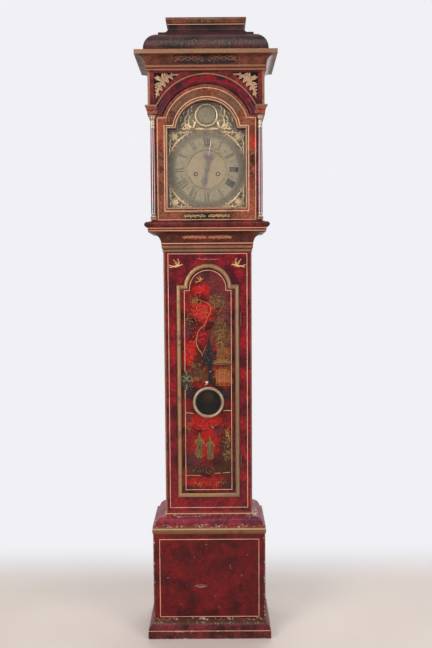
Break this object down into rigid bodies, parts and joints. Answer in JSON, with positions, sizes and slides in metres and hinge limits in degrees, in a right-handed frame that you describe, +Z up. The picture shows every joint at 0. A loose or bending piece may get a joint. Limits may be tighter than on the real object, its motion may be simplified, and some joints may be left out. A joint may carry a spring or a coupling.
{
  "type": "longcase clock",
  "caption": "Tall longcase clock with a stepped caddy top, arched brass dial behind a glazed hood door, long arched trunk door with a round glass, and a moulded box base.",
  "frame": {"origin": "floor level under the middle of the bounding box: midway across the case, and midway between its flat back and the front of the cornice", "axes": "+Z up, +Y towards the back, +X towards the viewer's right when the dial faces the viewer"},
  "size_m": [0.536, 0.295, 2.433],
  "materials": {
    "lacquer": "red japanned lacquer over oak with gilt decoration, aged",
    "oak": "bare aged oak",
    "gilt_wood": "worn water gilding",
    "brass": "aged brass",
    "steel": "blued and bright steel",
    "bell_metal": "cast bell metal",
    "glass": "clear old glass",
    "gut": "twisted gut line"
  },
  "bodies": {
    "case": {"backboard": "oak", "trunk_sides": "oak", "trunk_front_frame": "lacquer", "throat_moulding": "lacquer", "base_moulding": "lacquer", "base_front_panel": "lacquer", "base_sides": "lacquer", "skirting": "lacquer", "seatboard": "oak", "trunk_hinge_case_leaves": "brass", "front_plate": "brass", "back_plate": "brass", "bell": "bell_metal", "dial_plate": "brass", "chapter_ring": "brass", "dial_spandrels": "brass", "line_tops": "gut", "going_line": "gut", "strike_line": "gut"},
    "hood": {"hood_base_frame": "lacquer", "hood_sides": "lacquer", "hood_front_board": "lacquer", "arch_moulding": "lacquer", "spandrel_frets": "gilt_wood", "cornice": "lacquer", "caddy_bell": "lacquer", "caddy_block": "lacquer", "hood_mask": "oak", "hood_side_glasses": "glass"},
    "hood_door": {"hood_door_frame": "lacquer", "hood_door_glass": "glass", "door_columns": "lacquer", "hood_door_pivots": "brass"},
    "trunk_door": {"trunk_door_panel": "lacquer", "trunk_door_moulding": "gilt_wood", "lenticle_ring": "gilt_wood", "lenticle_glass": "glass", "trunk_hinge_door_leaves": "brass", "door_lock": "brass"},
    "bolt": {"lock_bolt": "steel"},
    "centre": {"centre_arbor": "brass", "minute_hand": "steel"},
    "hour": {"hour_wheel": "brass", "hour_hand": "steel"},
    "motion_wheel": {"minute_wheel": "brass"},
    "going_barrel": {"going_great_wheel": "brass"},
    "third": {"third_wheel": "brass"},
    "escape": {"escape_wheel": "brass"},
    "pallets": {"anchor": "steel"},
    "pendulum": {"pendulum": "steel"},
    "strike_barrel": {"strike_great_wheel": "brass"},
    "pin": {"pin_wheel": "brass"},
    "gathering": {"gathering_wheel": "brass"},
    "warning": {"warning_wheel": "brass"},
    "fly": {"fly": "brass"},
    "hammer": {"hammer": "steel"},
    "going_weight": {"going_weight": "brass"},
    "strike_weight": {"strike_weight": "brass"},
    "going_pulley": {"going_pulley": "brass"},
    "strike_pulley": {"strike_pulley": "brass"}
  },
  "joints": [
    {"name": "hood_slide", "type": "slide", "parent": "case", "child": "hood", "axis": [0, -1, 0], "range_m": [0, 0.3]},
    {"name": "hood_door_hinge", "type": "hinge", "parent": "hood", "child": "hood_door", "pos_m": [0.211, -0.085, 1.848], "axis": [0, 0, 1], "range_deg": [0, 110]},
    {"name": "trunk_door_hinge", "type": "hinge", "parent": "case", "child": "trunk_door", "pos_m": [0.1289, -0.0572, 0.9835], "axis": [0, 0, 1], "range_deg": [0, 110]},
    {"name": "lock_bolt_slide", "type": "slide", "parent": "trunk_door", "child": "bolt", "axis": [-1, 0, 0], "range_m": [0, 0.009]},
    {"name": "centre_arbor_turn", "type": "hinge", "parent": "case", "child": "centre", "pos_m": [0, 0, 1.8475], "axis": [0, 1, 0], "continuous": true},
    {"name": "hour_hand_turn", "type": "hinge", "parent": "case", "child": "hour", "pos_m": [0, -0.055, 1.8475], "axis": [0, 1, 0], "continuous": true},
    {"name": "minute_wheel_turn", "type": "hinge", "parent": "case", "child": "motion_wheel", "pos_m": [-0.018, -0.038, 1.8235], "axis": [0, 1, 0], "continuous": true},
    {"name": "going_barrel_turn", "type": "hinge", "parent": "case", "child": "going_barrel", "pos_m": [0.043, 0.005, 1.831], "axis": [0, 1, 0], "continuous": true},
    {"name": "third_wheel_turn", "type": "hinge", "parent": "case", "child": "third", "pos_m": [0.00766, 0.005, 1.8718], "axis": [0, 1, 0], "continuous": true},
    {"name": "escape_wheel_turn", "type": "hinge", "parent": "case", "child": "escape", "pos_m": [0, 0.005, 1.8925], "axis": [0, 1, 0], "continuous": true},
    {"name": "pendulum_swing", "type": "hinge", "parent": "case", "child": "pendulum", "pos_m": [0, 0.055, 1.9205], "axis": [0, 1, 0], "range_deg": [-2.5, 2.5]},
    {"name": "anchor_rock", "type": "hinge", "parent": "case", "child": "pallets", "pos_m": [0, 0.024, 1.9205], "axis": [0, 1, 0], "range_deg": [-2.5, 2.5]},
    {"name": "gathering_turn", "type": "hinge", "parent": "case", "child": "gathering", "pos_m": [-0.024, 0.005, 1.89], "axis": [0, 1, 0], "continuous": true},
    {"name": "strike_barrel_turn", "type": "hinge", "parent": "case", "child": "strike_barrel", "pos_m": [-0.043, 0.005, 1.831], "axis": [0, 1, 0], "continuous": true},
    {"name": "pin_wheel_turn", "type": "hinge", "parent": "case", "child": "pin", "pos_m": [-0.04, 0.005, 1.8705], "axis": [0, 1, 0], "continuous": true},
    {"name": "warning_turn", "type": "hinge", "parent": "case", "child": "warning", "pos_m": [-0.038, 0.005, 1.9031], "axis": [0, 1, 0], "continuous": true},
    {"name": "fly_turn", "type": "hinge", "parent": "case", "child": "fly", "pos_m": [-0.026, 0.005, 1.9118], "axis": [0, 1, 0], "continuous": true},
    {"name": "hammer_swing", "type": "hinge", "parent": "case", "child": "hammer", "pos_m": [-0.054, 0.005, 1.915], "axis": [0, -1, 0], "range_deg": [0, 12], "stiffness_Nm_per_rad": 0.05, "springref_deg": -11.46},
    {"name": "going_weight_slide", "type": "slide", "parent": "case", "child": "going_weight", "axis": [0, 0, 1], "range_m": [0, 0.9], "deforming": ["going_line"]},
    {"name": "strike_weight_slide", "type": "slide", "parent": "case", "child": "strike_weight", "axis": [0, 0, 1], "range_m": [0, 0.9], "deforming": ["strike_line"]},
    {"name": "going_pulley_turn", "type": "hinge", "parent": "going_weight", "child": "going_pulley", "pos_m": [0.048, 0.005, 0.8], "axis": [0, 1, 0], "continuous": true},
    {"name": "strike_pulley_turn", "type": "hinge", "parent": "strike_weight", "child": "strike_pulley", "pos_m": [-0.048, 0.005, 0.8], "axis": [0, 1, 0], "continuous": true}
  ],
  "couplings": [
    {"joint": "hour_hand_turn", "follows": "centre_arbor_turn", "ratio": 0.083333},
    {"joint": "minute_wheel_turn", "follows": "centre_arbor_turn", "ratio": -1},
    {"joint": "going_barrel_turn", "follows": "centre_arbor_turn", "ratio": -0.083333},
    {"joint": "third_wheel_turn", "follows": "centre_arbor_turn", "ratio": -7.5},
    {"joint": "escape_wheel_turn", "follows": "centre_arbor_turn", "ratio": 60},
    {"joint": "anchor_rock", "follows": "pendulum_swing", "ratio": 1},
    {"joint": "strike_barrel_turn", "follows": "gathering_turn", "ratio": 0.011905},
    {"joint": "pin_wheel_turn", "follows": "gathering_turn", "ratio": -0.125},
    {"joint": "warning_turn", "follows": "gathering_turn", "ratio": -7},
    {"joint": "fly_turn", "follows": "gathering_turn", "ratio": 56},
    {"joint": "going_pulley_turn", "follows": "going_weight_slide", "rad_per_m": -50},
    {"joint": "strike_pulley_turn", "follows": "strike_weight_slide", "rad_per_m": 50}
  ]
}
